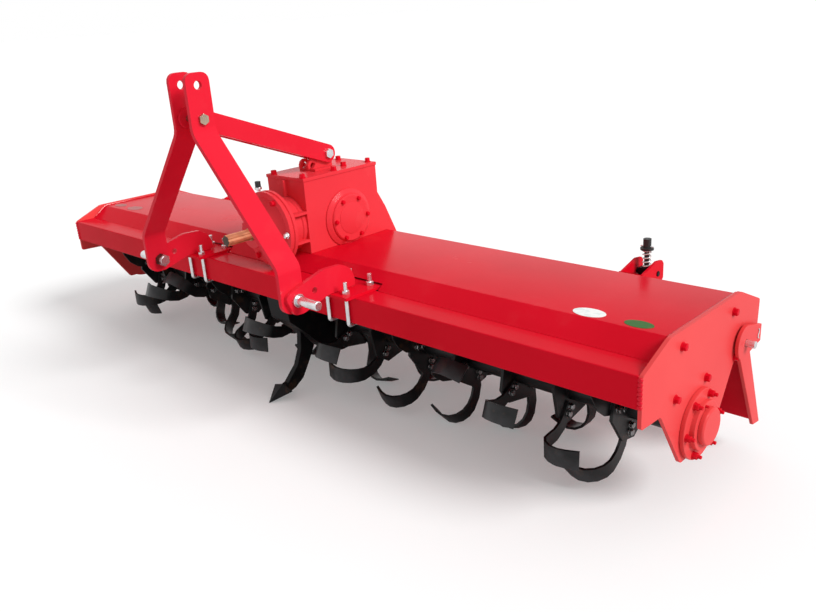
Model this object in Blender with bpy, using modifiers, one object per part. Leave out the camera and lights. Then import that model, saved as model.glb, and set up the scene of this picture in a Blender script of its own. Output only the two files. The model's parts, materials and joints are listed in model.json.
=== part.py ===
# Rotary tiller for a tractor's three-point hitch, in metres.
# +X is the machine's left, +Y its rear, +Z up. It stands on its blades and its centre share at z = 0.
# Every length below is measured from the rotor's axis at mid width, and the whole is moved at the end.

import bpy
import bmesh
from math import atan2, cos, hypot, pi, radians, sin
from mathutils import Matrix, Vector

# General sizes
GAP = 0.0003
WELD = 0.00001
ROUND_STEPS = 32
SMALL_STEPS = 16
HEX_STEPS = 6
CORNER_STEPS = 3
WIRE_STEPS = 2
THIN_WIRE_STEPS = 1
BEVEL_ROUND_SHARE = 0.5
SHEET_SIDE = -1
ALONG_SHARE = 0.95
SIDES = (("left", 1), ("right", -1))

# Rotor: tube, blade holders and bent blades
BLADE_TIP_RADIUS = 0.241
BLADE_STEP = radians(22.5)
ROTOR_TUBE_RADIUS = 0.040
ROTOR_TUBE_END_X = 1.3745
JOURNAL_RADIUS = 0.030
JOURNAL_END_X = 1.404
HOLDER_HEIGHT = 0.100
HOLDER_HALF_WIDTH = 0.030
HOLDER_THICKNESS = 0.010
HOLDER_FIRST_X = 0.130
HOLDER_SPACING = 0.180
HOLDER_COUNT = 7
BLADES_PER_HOLDER = 4

# A blade's blank runs straight out, hooks back, and is bent sideways across the hook
BLADE_THICKNESS = 0.008
BLADE_EDGE_THICKNESS = 0.004
BLADE_SINK = 0.001
BLADE_ROOT_RADIUS = 0.047
BLADE_STRAIGHT_RADIUS = 0.085
BLADE_HOOK_RADIUS = 0.100
BLADE_HOOK_ANGLE = radians(60)
BLADE_HOOK_STEPS = 3
BLADE_BEND_RADIUS = 0.066
BLADE_BEND_ANGLE = radians(115)
BLADE_BEND_STEPS = 5
BLADE_TIP_LENGTH = 0.035
BLADE_ROOT_WIDTH = 0.038
BLADE_TIP_WIDTH = 0.056

# Where it stands: the rotor rests on two rows of blade corners, so it can't roll
ROTOR_Z = BLADE_TIP_RADIUS * cos(BLADE_STEP / 2)
FRONT_Y = -0.484
REAR_Y = 0.414
ROTOR_Y = -(FRONT_Y + REAR_Y) / 2

# End plates
PLATE_INNER_X = 1.380
PLATE_THICKNESS = 0.010
PLATE_FRONT_Y = -0.281
PLATE_REAR_Y = 0.346
PLATE_BOTTOM_Z = -0.079
PLATE_TOP_Z = 0.282
PLATE_CORNER = 0.008
PLATE_SHARES = (
    (0.000, 0.860), (0.000, 0.496), (0.144, 0.485), (0.321, 0.000), (0.593, 0.000), (0.678, 0.227),
    (0.772, 0.482), (0.992, 0.568), (1.000, 0.842), (0.796, 1.000), (0.193, 1.000),
)
PLATE_BORE_RADIUS = 0.0308

# Bearing flanges and hub caps outside the plates
FLANGE_RADIUS = 0.094
FLANGE_RIM_THICKNESS = 0.012
FLANGE_BOSS_RADIUS = 0.066
FLANGE_BOSS_X = 1.416
CAP_RADIUS = 0.050
CAP_FACE_X = 1.431
CAP_CHAMFER = 0.004

# Front beam, a square tube between the plates
BEAM_FRONT_Y = -0.281
BEAM_REAR_Y = -0.197
BEAM_BOTTOM_Z = 0.1476
BEAM_TOP_Z = 0.2316
BEAM_WALL = 0.010

# Cover, one folded sheet from the beam's top to the rear lower edge
COVER_THICKNESS = 0.004
COVER_FOOT_Y = -0.1967
COVER_FRONT_Y = -0.137
COVER_TOP_Z = 0.275
COVER_CREST_Y = 0.218
COVER_REAR_Y = 0.346
COVER_REAR_Z = 0.220
COVER_LIP_Y = 0.341
COVER_LIP_Z = 0.128

# Gearbox on the cover, at mid width
GEARBOX_HALF_WIDTH = 0.097
GEARBOX_FRONT_Y = -0.138
GEARBOX_REAR_Y = 0.266
GEARBOX_BOTTOM_Z = 0.2548
GEARBOX_TOP_Z = 0.515
GEARBOX_SHARES = (
    (0.000, 0.079), (0.881, 0.079), (1.000, 0.000), (0.879, 0.416), (0.797, 0.635), (0.797, 1.000), (0.000, 1.000),
)
FRONT_RIB_HALF_WIDTH = 0.004
FRONT_RIB_HEIGHT = 0.012
LID_OVERHANG = 0.003
LID_TOP_Z = 0.527
SIDE_CAP_Y = 0.037
SIDE_CAP_Z = 0.361
SIDE_RING_FOOT_RADIUS = 0.100
SIDE_RING_FOOT_HEIGHT = 0.004
SIDE_RING_RADIUS = 0.086
SIDE_RING_HEIGHT = 0.012
SIDE_CAP_RADIUS = 0.081
SIDE_CAP_X = 0.118

# Input housing on the gearbox's front, and the splined input shaft in it
INPUT_Z = 0.368
HOUSING_REAR_Y = -0.1383
HOUSING_FRONT_Y = -0.300
HOUSING_FLANGE_RADIUS = 0.126
# (share of the length from the rear, share of the flange's radius)
HOUSING_SHARES = (
    (0.00, 0.73), (0.08, 0.73), (0.10, 0.70), (0.41, 0.70), (0.41, 1.00), (0.48, 1.00), (0.49, 0.97),
    (0.53, 0.97), (0.54, 1.00), (0.60, 1.00), (0.61, 0.95), (0.62, 0.88), (0.58, 0.80), (0.64, 0.56), (0.70, 0.41), (1.00, 0.38),
)
HOUSING_RIB_RISE = 0.047
HOUSING_RIB_THICKNESS = 0.008
HOUSING_RIB_HALF_WIDTH = 0.100
HOUSING_BORE_RADIUS = 0.0222
SHAFT_REAR_Y = -0.1395
SHAFT_SHOULDER_Y = -0.306
SHAFT_FRONT_Y = -0.397
SHAFT_RADIUS = 0.0215
SPLINE_COUNT = 6
SPLINE_TOP_RADIUS = 0.0185
SPLINE_ROOT_RADIUS = 0.0155
SPLINE_SHARES = (0.06, 0.40, 0.48, 0.98)
BREATHER_X = -0.033
BREATHER_Y = -0.225
BREATHER_HEIGHT = 0.032
BREATHER_RADIUS = 0.012
# (share of the height from the foot, share of the radius)
BREATHER_SHARES = ((0.00, 0.55), (0.18, 0.55), (0.18, 1.00), (0.42, 1.00), (0.42, 0.80), (1.00, 0.80))

# Lid bracket: two lugs that take the struts' rear bolt
BRACKET_REAR_Y = 0.049
BRACKET_FRONT_Y = -0.040
BRACKET_BASE_TOP_Z = 0.535
BRACKET_BASE_HALF_WIDTH = 0.042
LUG_INNER_X = 0.0134
LUG_OUTER_X = 0.0254
LUG_RADIUS = 0.022
HOOK_Y = -0.034
HOOK_Z = 0.545
HOOK_RADIUS = 0.022
HOOK_WIDTH = 0.010
HOOK_END = radians(205)
HOOK_STEPS = 6
STRUT_BOLT_Y = 0.028
STRUT_BOLT_Z = 0.578

# Struts between the mast's top and the gearbox's lid
STRUT_INNER_X = 0.0257
STRUT_OUTER_X = 0.0377
STRUT_RADIUS = 0.030
MAST_BOLT_Y = -0.444
BOLT_RADIUS = 0.009
BOLT_HOLE_RADIUS = 0.0095
BOLT_HEAD_RADIUS = 0.0165
BOLT_HEAD_HEIGHT = 0.009

# Mast: two bent straps from the top link to the lower hitch pins
STRAP_FRONT_Y = -0.484
STRAP_REAR_Y = -0.404
STRAP_THICKNESS = 0.014
STRAP_TOP_X = 0.052
STRAP_TOP_Z = 0.889
STRAP_UPPER_LENGTH = 0.171
STRAP_UPPER_BEND_Z = STRAP_TOP_Z - STRAP_UPPER_LENGTH
STRAP_FOOT_X = 0.381
STRAP_LOWER_BEND_Z = 0.356
STRAP_FOOT_Z = 0.219
STRAP_BEND_RADIUS = 0.018
STRAP_TOP_CORNER = 0.025
STRAP_TOP_CORNER_STEPS = 4
STRAP_FOOT_CORNER = 0.036
STRAP_FOOT_CORNER_STEPS = 6
TOP_LINK_DROP = 0.036
TOP_LINK_Z = STRAP_TOP_Z - TOP_LINK_DROP
TOP_LINK_RADIUS = 0.013
MAST_BOLT_DROP = 0.133
MAST_BOLT_Z = STRAP_TOP_Z - MAST_BOLT_DROP

# Lower hitch: cheeks outside the straps' feet, pins through both, and the clamps on the beam
PIN_Y = -0.437
PIN_Z = 0.2595
PIN_RADIUS = 0.014
PIN_HOLE_RADIUS = 0.0144
PIN_INNER_X = 0.340
PIN_OUTER_X = 0.487
PIN_NUT_RADIUS = 0.022
PIN_NUT_X = 0.3665
PIN_COLLAR_X = 0.403
PIN_COLLAR_RADIUS = 0.020
PIN_CHAMFER = 0.002
CHEEK_THICKNESS = 0.014
PIN_SEAT_X = STRAP_FOOT_X + GAP + CHEEK_THICKNESS + GAP
CHEEK_FRONT_Y = -0.477
CHEEK_REAR_Y = -0.216
CHEEK_BOTTOM_Z = 0.214
CHEEK_TOP_Z = 0.323
CHEEK_SHARES = (
    (0.088, 0.028), (0.000, 0.541), (0.054, 0.670), (0.563, 1.000), (0.824, 0.972),
    (0.954, 0.771), (1.000, 0.468), (1.000, 0.262), (0.594, 0.262), (0.218, 0.000),
)
CHEEK_CORNER = 0.012
CHEEK_HOLE_Y = -0.373
CHEEK_HOLE_Z = 0.271
CHEEK_HOLE_RADIUS = 0.0095
CLAMP_INNER_X = 0.320
CLAMP_OUTER_X = 0.465
CLAMP_FRONT_Y = -0.317
CLAMP_REAR_Y = -0.168
CLAMP_THICKNESS = 0.010
CLAMP_NOTCH_GAP = 0.006
UBOLT_INNER_X = 0.345
UBOLT_OUTER_X = 0.432
UBOLT_RADIUS = 0.0065
UBOLT_BEAM_GAP = 0.0008
UBOLT_CORNER = 0.008
UBOLT_CORNER_STEPS = 3
UBOLT_STUD_Z = 0.278
UBOLT_NUT_RADIUS = 0.0125
UBOLT_NUT_HEIGHT = 0.011

# Centre gear case, its fixed shank and the share
CASE_HALF_WIDTH = 0.052
CASE_RADIUS = 0.130
CASE_ROUND_STEPS = 12
CASE_ROUND_START = radians(223)
CASE_ROUND_END = radians(360)
CASE_TOP_Z = 0.2693
CASE_FRONT_Y = -0.1963
CASE_SHOULDER_Z = 0.2195
CASE_TOP_FRONT_Y = -0.1325
CASE_NOSE_Y = -0.240
CASE_NOSE_TOP_Z = 0.1473
CASE_SLOPE_TOP_Y = -0.228
CASE_SLOPE_TOP_Z = 0.048
CASE_SLOPE_KNEE_Y = -0.159
CASE_SLOPE_KNEE_Z = -0.018
CASE_BORE_RADIUS = 0.043
SHANK_HALF_WIDTH = 0.011
SHANK_FRONT_Y = -0.2517
SHANK_REAR_Y = -0.1046
SHANK_BOTTOM_Z = -0.223
SHANK_TOP_Z = -0.0189
SHANK_SHARES = (
    (0.633, 1.000), (1.000, 0.665), (0.787, 0.402), (0.562, 0.152), (0.304, 0.034), (0.154, 0.000),
    (0.000, 0.020), (0.000, 0.157), (0.093, 0.176), (0.426, 0.412), (0.576, 0.661),
)
SHARE_TIP_Y = -0.324
SHARE_BACK_Y = -0.252
SHARE_WING_X = 0.052
SHARE_WING_Z = -0.203
SHARE_RIDGE_Z = -0.187
SHARE_KEEL_Z = -0.224

# Trailing board: arms outside the plates, a sheet behind them, hung on two pins
HINGE_Y = 0.238
HINGE_Z = 0.136
HINGE_PIN_RADIUS = 0.010
HINGE_HOLE_RADIUS = 0.0106
HINGE_PIN_X = 1.430
ARM_INNER_X = 1.3955
ARM_OUTER_X = 1.4055
ARM_HEAD_RADIUS = 0.050
ARM_HEAD_STEPS = 12
ARM_HEAD_SWEEP = radians(142)
ARM_TAB_Y = 0.333
ARM_TAB_TOP_Z = 0.160
ARM_TAB_BOTTOM_Z = 0.112
ARM_FRONT_TOP_Y = 0.212
ARM_FRONT_TOP_Z = 0.104
ARM_FRONT_BOTTOM_Y = 0.331
ARM_FRONT_BOTTOM_Z = -0.146
BOARD_TOP_Y = 0.267
BOARD_TOP_Z = 0.102
BOARD_BOTTOM_Y = 0.374
BOARD_BOTTOM_Z = -0.152
BOARD_THICKNESS = 0.004
BOARD_INSIDE_X = 1.374
BOARD_WIDE_SHARE = 0.27
BOARD_OVERLAP = 0.002
BOARD_LUG_REACH = 0.021
BOARD_LUG_THICKNESS = 0.008
BOARD_LUG_GAP = 0.0035
BOARD_LUG_TOP_SHARE = 0.40
BOARD_LUG_BOTTOM_SHARE = 0.72

# Adjusters: brackets on the cover, trunnions in them, and spring-loaded rods down to the board
ADJUSTER_X = 1.0375
EAR_HALF_SPAN = 0.0375
EAR_THICKNESS = 0.008
EAR_FRONT_Y = 0.284
EAR_REAR_Y = 0.414
EAR_BOTTOM_Z = 0.194
EAR_TOP_Z = 0.270
EAR_SHARES = (
    (0.000, 0.703), (0.677, 1.000), (0.923, 0.947), (1.000, 0.789), (1.000, 0.211),
    (0.877, 0.000), (0.474, 0.000), (0.483, 0.347),
)
EAR_WEB_THICKNESS = 0.005
TRUNNION_Y = 0.380
TRUNNION_Z = 0.230
TRUNNION = (0, TRUNNION_Y, TRUNNION_Z)
TRUNNION_HALF_WIDTH = 0.020
TRUNNION_HALF_DEPTH = 0.014
TRUNNION_HALF_HEIGHT = 0.0145
TRUNNION_PIN_RADIUS = 0.008
TRUNNION_HOLE_RADIUS = 0.0087
TRUNNION_PIN_PROUD = 0.003
EYE_Z = -0.040
EYE_RADIUS = 0.018
EYE_HALF_WIDTH = 0.006
ROD_RADIUS = 0.0075
ROD_HOLE_RADIUS = 0.0082
SPRING_RADIUS = 0.0122
SPRING_WIRE_RADIUS = 0.002
SPRING_TURNS = 5
SPRING_STEPS = 10
SPRING_DEAD_SHARE = 0.5
SPRING_TOP_Z = 0.296
COLLAR_BOTTOM_Z = 0.299
COLLAR_TOP_Z = 0.306
COLLAR_RADIUS = 0.020
KNOB_RADIUS = 0.012
KNOB_TOP_Z = 0.333

MATERIALS = {
    "red_paint": ((0.60, 0.008, 0.018, 1), 0.0, 0.30),
    "black_paint": ((0.012, 0.012, 0.013, 1), 0.0, 0.45),
    "zinc": ((0.62, 0.63, 0.64, 1), 1.0, 0.35),
    "bare_steel": ((0.42, 0.20, 0.12, 1), 1.0, 0.45),
}


def clear_scene():
    for thing in list(bpy.data.objects):
        bpy.data.objects.remove(thing)


def new_collection(name, hidden):
    made = bpy.data.collections.new(name)
    made.hide_render = hidden
    bpy.context.scene.collection.children.link(made)
    return made


def make_materials():
    for name, (colour, metallic, roughness) in MATERIALS.items():
        material = bpy.data.materials.new(name)
        material.use_nodes = True
        shader = material.node_tree.nodes["Principled BSDF"]
        shader.inputs["Base Color"].default_value = colour
        shader.inputs["Metallic"].default_value = metallic
        shader.inputs["Roughness"].default_value = roughness
        material.diffuse_color = colour


def object_of(name, mesh, material):
    made = bpy.data.objects.new(name, mesh)
    PIECES.objects.link(made)
    made.data.materials.append(bpy.data.materials[material])
    return made


def object_from_bmesh(name, shape, material):
    bmesh.ops.recalc_face_normals(shape, faces=shape.faces)
    mesh = bpy.data.meshes.new(name)
    shape.to_mesh(mesh)
    shape.free()
    return object_of(name, mesh, material)


def evaluated_mesh(obj):
    graph = bpy.context.evaluated_depsgraph_get()
    return bpy.data.meshes.new_from_object(obj.evaluated_get(graph))


def cleaned(name, mesh, material):
    """The mesh with its doubled points merged and its faces turned outwards."""
    shape = bmesh.new()
    shape.from_mesh(mesh)
    bmesh.ops.remove_doubles(shape, verts=shape.verts, dist=WELD)
    return object_from_bmesh(name, shape, material)


def combine(target, others, operation):
    """Cuts the others from the target or joins them to it, and keeps the result as its mesh."""
    for other in others:
        modifier = target.modifiers.new(operation.lower(), "BOOLEAN")
        modifier.operation = operation
        modifier.solver = "EXACT"
        modifier.object = other
    mesh = evaluated_mesh(target)
    target.modifiers.clear()
    target.data = mesh
    for other in others:
        if operation == "DIFFERENCE":
            PIECES.objects.unlink(other)
            CUTTERS.objects.link(other)
            other.hide_render = True
            other.display_type = "WIRE"
        else:
            bpy.data.objects.remove(other)
    return target


def cut(target, *cutters):
    return combine(target, cutters, "DIFFERENCE")


def fuse(target, *others):
    return combine(target, others, "UNION")


def drawn(name, data):
    """An object in the scene that only serves to draw a shape."""
    made = bpy.data.objects.new(name, data)
    PIECES.objects.link(made)
    return made


def turned_to(axis, middle):
    """Takes a shape drawn flat, with its depth upwards, to one whose depth runs along an axis."""
    rows = {
        "X": ((0, 0, 1, middle), (1, 0, 0, 0), (0, 1, 0, 0)),
        "Y": ((1, 0, 0, 0), (0, 0, 1, middle), (0, 1, 0, 0)),
        "Z": ((1, 0, 0, 0), (0, 1, 0, 0), (0, 0, 1, middle)),
    }[axis]
    return Matrix((*rows, (0, 0, 0, 1)))


def flat_curve(name, points, depth, closed):
    """A flat line through the points, pulled to a depth: filled where it is closed, and a ribbon where it is open."""
    curve = bpy.data.curves.new(name, "CURVE")
    curve.dimensions = "2D"
    curve.fill_mode = "BOTH" if closed else "NONE"
    curve.extrude = depth / 2
    line = curve.splines.new("POLY")
    line.points.add(len(points) - len(line.points))
    line.use_cyclic_u = closed
    for spot, (first, second) in zip(line.points, points):
        spot.co = (first, second, 0, 1)
    return drawn(name, curve)


def kept(name, source, matrix, material):
    """The evaluated shape of a drawing as a clean object, with the drawing removed."""
    mesh = evaluated_mesh(source)
    bpy.data.objects.remove(source)
    mesh.transform(matrix)
    made = cleaned(name + "_kept", mesh, material)
    made.name = name
    return made


def prism(name, outline, low, high, axis="X", material="red_paint"):
    """An outline pulled straight from low to high along an axis."""
    shape = flat_curve(name, outline, high - low, True)
    return kept(name, shape, turned_to(axis, (low + high) / 2), material)


def bent_sheet(name, path, thickness, low, high, axis="X", material="red_paint"):
    """A sheet that follows a path, as wide as low to high. Its thickness lies to the path's right."""
    shape = flat_curve(name, path, high - low, False)
    wall = shape.modifiers.new("wall", "SOLIDIFY")
    wall.thickness = thickness
    wall.offset = SHEET_SIDE
    wall.use_even_offset = True
    return kept(name, shape, turned_to(axis, (low + high) / 2), material)


def turned(name, profile, axis, centre, steps=ROUND_STEPS, material="red_paint"):
    """A profile of (distance, radius) pairs turned round an axis through the centre."""
    spots = {"X": "xz", "Y": "yx", "Z": "zx"}[axis]
    mesh = bpy.data.meshes.new(name)
    points = []
    for distance, radius in profile:
        place = dict.fromkeys("xyz", 0)
        place[spots[0]] = distance
        place[spots[1]] = radius
        points.append((place["x"], place["y"], place["z"]))
    edges = [(index, index + 1) for index in range(len(points) - 1)]
    if profile[0][1] and profile[-1][1]:
        edges.append((len(points) - 1, 0))
    mesh.from_pydata(points, edges, [])
    line = drawn(name, mesh)
    screw = line.modifiers.new("turn", "SCREW")
    screw.axis = axis
    screw.steps = steps
    screw.render_steps = steps
    screw.use_merge_vertices = True
    screw.merge_threshold = WELD
    return kept(name, line, Matrix.Translation(centre), material)


def rod_between(name, low, high, radius, axis, centre, steps=SMALL_STEPS, material="zinc"):
    """A round bar, or with six steps a hexagonal one, from low to high along an axis."""
    shape = bmesh.new()
    bmesh.ops.create_cone(
        shape, cap_ends=True, segments=steps, radius1=radius, radius2=radius, depth=high - low,
        matrix=turned_to(axis, (low + high) / 2),
    )
    bmesh.ops.translate(shape, verts=shape.verts, vec=centre)
    return object_from_bmesh(name, shape, material)


def twin(obj):
    """The right-hand copy of a left-hand piece."""
    copy = obj.copy()
    copy.data = obj.data.copy()
    copy.name = obj.name.replace("left", "right")
    copy.data.transform(Matrix.Diagonal((-1, 1, 1, 1)))
    copy.data.flip_normals()
    PIECES.objects.link(copy)
    return copy


def from_shares(box, shares):
    first_low, first_high, second_low, second_high = box
    return [
        (first_low + (first_high - first_low) * first, second_low + (second_high - second_low) * second)
        for first, second in shares
    ]


def arc(centre, radius, start, end, steps):
    turns = [start + (end - start) * step / steps for step in range(steps + 1)]
    return [(centre[0] + radius * cos(turn), centre[1] + radius * sin(turn)) for turn in turns]


def capsule(first, second, radius, steps):
    """A bar with round ends about two centres."""
    lean = atan2(second[1] - first[1], second[0] - first[0])
    quarter = pi / 2
    far_end = arc(second, radius, lean - quarter, lean + quarter, steps)
    near_end = arc(first, radius, lean + quarter, lean + quarter + pi, steps)
    return far_end + near_end


def corner_curve(last, corner, following, radius, steps):
    """Points that round off a corner, less where its sides are short."""
    to_last, to_next = last - corner, following - corner
    reach = min(radius, to_last.length / 2 * ALONG_SHARE, to_next.length / 2 * ALONG_SHARE)
    start = corner + to_last.normalized() * reach
    end = corner + to_next.normalized() * reach
    curve = []
    for step in range(steps + 1):
        share = step / steps
        curve.append(tuple(start.lerp(corner, share).lerp(corner.lerp(end, share), share)))
    return curve


def rounded(outline, radius, steps=CORNER_STEPS):
    """The closed outline with each corner rounded off."""
    points = [Vector(point) for point in outline]
    made = []
    for index, corner in enumerate(points):
        following = points[(index + 1) % len(points)]
        made += corner_curve(points[index - 1], corner, following, radius, steps)
    return made


def eased(path, radius, steps=CORNER_STEPS):
    """The open path with its bends rounded off and its ends kept."""
    points = [Vector(point) for point in path]
    made = [tuple(points[0])]
    for last, corner, following in zip(points, points[1:], points[2:]):
        made += corner_curve(last, corner, following, radius, steps)
    return made + [tuple(points[-1])]


def box_between(name, low, high, material="red_paint"):
    low, high = Vector(low), Vector(high)
    shape = bmesh.new()
    size = Matrix.Diagonal((*(high - low), 1))
    bmesh.ops.create_cube(shape, size=1, matrix=Matrix.Translation((low + high) / 2) @ size)
    return object_from_bmesh(name, shape, material)


def end_plates():
    outline = rounded(from_shares((PLATE_FRONT_Y, PLATE_REAR_Y, PLATE_BOTTOM_Z, PLATE_TOP_Z), PLATE_SHARES), PLATE_CORNER)
    plate = prism("end_plate_left", outline, PLATE_INNER_X, PLATE_INNER_X + PLATE_THICKNESS)
    past = PLATE_THICKNESS
    bore = rod_between(
        "plate_bore", PLATE_INNER_X - past, PLATE_INNER_X + 2 * past, PLATE_BORE_RADIUS, "X", (0, 0, 0), ROUND_STEPS
    )
    twin(cut(plate, bore))


def bearing_flanges():
    inner = PLATE_INNER_X + PLATE_THICKNESS + GAP
    rim = inner + FLANGE_RIM_THICKNESS
    profile = (
        (inner, PLATE_BORE_RADIUS), (inner, FLANGE_RADIUS), (rim, FLANGE_RADIUS),
        (rim, FLANGE_BOSS_RADIUS), (FLANGE_BOSS_X, FLANGE_BOSS_RADIUS), (FLANGE_BOSS_X, PLATE_BORE_RADIUS),
    )
    twin(turned("bearing_flange_left", profile, "X", (0, 0, 0)))
    seat = FLANGE_BOSS_X + GAP
    cap = (
        (seat, 0), (seat, CAP_RADIUS), (CAP_FACE_X - CAP_CHAMFER, CAP_RADIUS),
        (CAP_FACE_X, CAP_RADIUS - CAP_CHAMFER), (CAP_FACE_X, 0),
    )
    twin(turned("hub_cap_left", cap, "X", (0, 0, 0)))


def front_beam():
    end = PLATE_INNER_X - GAP
    beam = box_between("front_beam", (-end, BEAM_FRONT_Y, BEAM_BOTTOM_Z), (end, BEAM_REAR_Y, BEAM_TOP_Z))
    past = end + BEAM_WALL
    inside = box_between(
        "beam_inside",
        (-past, BEAM_FRONT_Y + BEAM_WALL, BEAM_BOTTOM_Z + BEAM_WALL),
        (past, BEAM_REAR_Y - BEAM_WALL, BEAM_TOP_Z - BEAM_WALL),
    )
    cut(beam, inside)


def cover():
    path = (
        (COVER_FOOT_Y, BEAM_TOP_Z + GAP), (COVER_FRONT_Y, COVER_TOP_Z), (COVER_CREST_Y, COVER_TOP_Z),
        (COVER_REAR_Y, COVER_REAR_Z), (COVER_LIP_Y, COVER_LIP_Z),
    )
    end = PLATE_INNER_X - GAP
    sheet = bent_sheet("cover", path, COVER_THICKNESS, -end, end)
    notches = []
    for side, sign in SIDES:
        edges = sorted((sign * (CLAMP_INNER_X - CLAMP_NOTCH_GAP), sign * (CLAMP_OUTER_X + CLAMP_NOTCH_GAP)))
        low = (edges[0], CLAMP_FRONT_Y, BEAM_BOTTOM_Z)
        high = (edges[1], CLAMP_REAR_Y, BEAM_TOP_Z + CLAMP_THICKNESS + CLAMP_NOTCH_GAP)
        notches.append(box_between("clamp_notch_" + side, low, high))
    cut(sheet, *notches)


def gearbox():
    box = (GEARBOX_FRONT_Y, GEARBOX_REAR_Y, GEARBOX_BOTTOM_Z, GEARBOX_TOP_Z)
    housing = prism("gearbox_housing", from_shares(box, GEARBOX_SHARES), -GEARBOX_HALF_WIDTH, GEARBOX_HALF_WIDTH)
    rib_foot = INPUT_Z + HOUSING_FLANGE_RADIUS * HOUSING_SHARES[0][1] + GAP
    rib = box_between(
        "front_rib",
        (-FRONT_RIB_HALF_WIDTH, GEARBOX_FRONT_Y - FRONT_RIB_HEIGHT, rib_foot),
        (FRONT_RIB_HALF_WIDTH, GEARBOX_FRONT_Y + FRONT_RIB_HEIGHT, GEARBOX_TOP_Z - GAP),
    )
    fuse(housing, rib)
    flat_rear = GEARBOX_FRONT_Y + (GEARBOX_REAR_Y - GEARBOX_FRONT_Y) * GEARBOX_SHARES[-2][0]
    half = GEARBOX_HALF_WIDTH + LID_OVERHANG
    box_between(
        "gearbox_lid", (-half, GEARBOX_FRONT_Y - LID_OVERHANG, GEARBOX_TOP_Z + GAP),
        (half, flat_rear + LID_OVERHANG, LID_TOP_Z),
    )


def side_caps():
    inner = GEARBOX_HALF_WIDTH + GAP
    ring = GEARBOX_HALF_WIDTH + SIDE_RING_HEIGHT
    profile = (
        (inner, 0), (inner, SIDE_RING_FOOT_RADIUS), (inner + SIDE_RING_FOOT_HEIGHT, SIDE_RING_FOOT_RADIUS),
        (ring, SIDE_RING_RADIUS), (ring, SIDE_CAP_RADIUS), (SIDE_CAP_X - CAP_CHAMFER, SIDE_CAP_RADIUS),
        (SIDE_CAP_X, SIDE_CAP_RADIUS - CAP_CHAMFER), (SIDE_CAP_X, 0),
    )
    cap = turned("side_cap_left", profile, "X", (0, SIDE_CAP_Y, SIDE_CAP_Z))
    past = SIDE_RING_FOOT_RADIUS
    under_cover = box_between(
        "under_cover", (0, SIDE_CAP_Y - past, SIDE_CAP_Z - past * 2),
        (SIDE_CAP_X * 2, SIDE_CAP_Y + past, COVER_TOP_Z + GAP),
    )
    twin(cut(cap, under_cover))


def input_housing():
    reach = HOUSING_FRONT_Y - HOUSING_REAR_Y
    outer = [(HOUSING_REAR_Y + reach * along, HOUSING_FLANGE_RADIUS * out) for along, out in HOUSING_SHARES]
    bore = [(HOUSING_FRONT_Y, HOUSING_BORE_RADIUS), (HOUSING_REAR_Y, HOUSING_BORE_RADIUS)]
    housing = turned("input_housing", outer + bore, "Y", (0, 0, INPUT_Z))
    rear_of_flange = [y for y, radius in outer if radius == HOUSING_FLANGE_RADIUS][0]
    half = HOUSING_RIB_THICKNESS / 2
    ribs = []
    for side, sign in SIDES:
        for middle in (INPUT_Z - HOUSING_RIB_RISE, INPUT_Z + HOUSING_RIB_RISE):
            ends = sorted((sign * HOUSING_RIB_HALF_WIDTH / 2, sign * HOUSING_RIB_HALF_WIDTH))
            low = (ends[0], rear_of_flange - half, middle - half)
            high = (ends[1], HOUSING_REAR_Y - GAP, middle + half)
            ribs.append(box_between("housing_rib_" + side, low, high))
    fuse(housing, *ribs)


def breather():
    """A vent on the housing's flange, a little to one side of its top."""
    near = abs(BREATHER_X) - BREATHER_RADIUS * BREATHER_SHARES[0][1]
    foot = INPUT_Z + (HOUSING_FLANGE_RADIUS ** 2 - near ** 2) ** (1 / 2) + GAP
    outer = [(foot + BREATHER_HEIGHT * up, BREATHER_RADIUS * out) for up, out in BREATHER_SHARES]
    profile = [(outer[0][0], 0)] + outer + [(outer[-1][0], 0)]
    turned("breather", profile, "Z", (BREATHER_X, BREATHER_Y, 0), SMALL_STEPS, "black_paint")


def input_shaft():
    outline = []
    for spline in range(SPLINE_COUNT):
        radii = (SPLINE_ROOT_RADIUS, SPLINE_ROOT_RADIUS, SPLINE_TOP_RADIUS, SPLINE_TOP_RADIUS)
        for share, radius in zip(SPLINE_SHARES, radii):
            turn = 2 * pi * (spline + share) / SPLINE_COUNT
            outline.append((radius * cos(turn), INPUT_Z + radius * sin(turn)))
    inside = SHAFT_SHOULDER_Y + SPLINE_TOP_RADIUS
    splines = prism("input_shaft", outline, SHAFT_FRONT_Y, inside, "Y", "bare_steel")
    body = rod_between(
        "shaft_body", SHAFT_SHOULDER_Y, SHAFT_REAR_Y, SHAFT_RADIUS, "Y", (0, 0, INPUT_Z), SMALL_STEPS, "bare_steel"
    )
    return fuse(splines, body)


def lid_bracket():
    base = box_between(
        "lid_bracket",
        (-BRACKET_BASE_HALF_WIDTH, BRACKET_FRONT_Y, LID_TOP_Z + GAP),
        (BRACKET_BASE_HALF_WIDTH, BRACKET_REAR_Y, BRACKET_BASE_TOP_Z),
    )
    foot = (BRACKET_BASE_TOP_Z + LID_TOP_Z) / 2
    top = arc((STRUT_BOLT_Y, STRUT_BOLT_Z), LUG_RADIUS, 0, pi, ARM_HEAD_STEPS)
    outline = [(BRACKET_FRONT_Y, foot), (BRACKET_REAR_Y, foot)] + top
    centre = (HOOK_Y, HOOK_Z)
    hook = arc(centre, HOOK_RADIUS, 0, HOOK_END, HOOK_STEPS)
    hook += arc(centre, HOOK_RADIUS - HOOK_WIDTH, HOOK_END, 0, HOOK_STEPS)
    joined = []
    for side, low in (("near", LUG_INNER_X), ("far", -LUG_OUTER_X)):
        high = low + LUG_OUTER_X - LUG_INNER_X
        joined.append(prism("lug_" + side, outline, low, high))
        joined.append(prism("hook_" + side, hook, low + GAP, high - GAP))
    fuse(base, *joined)
    past = BRACKET_BASE_HALF_WIDTH
    hole = rod_between("lug_hole", -past, past, BOLT_HOLE_RADIUS, "X", (0, STRUT_BOLT_Y, STRUT_BOLT_Z))
    cut(base, hole)


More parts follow.
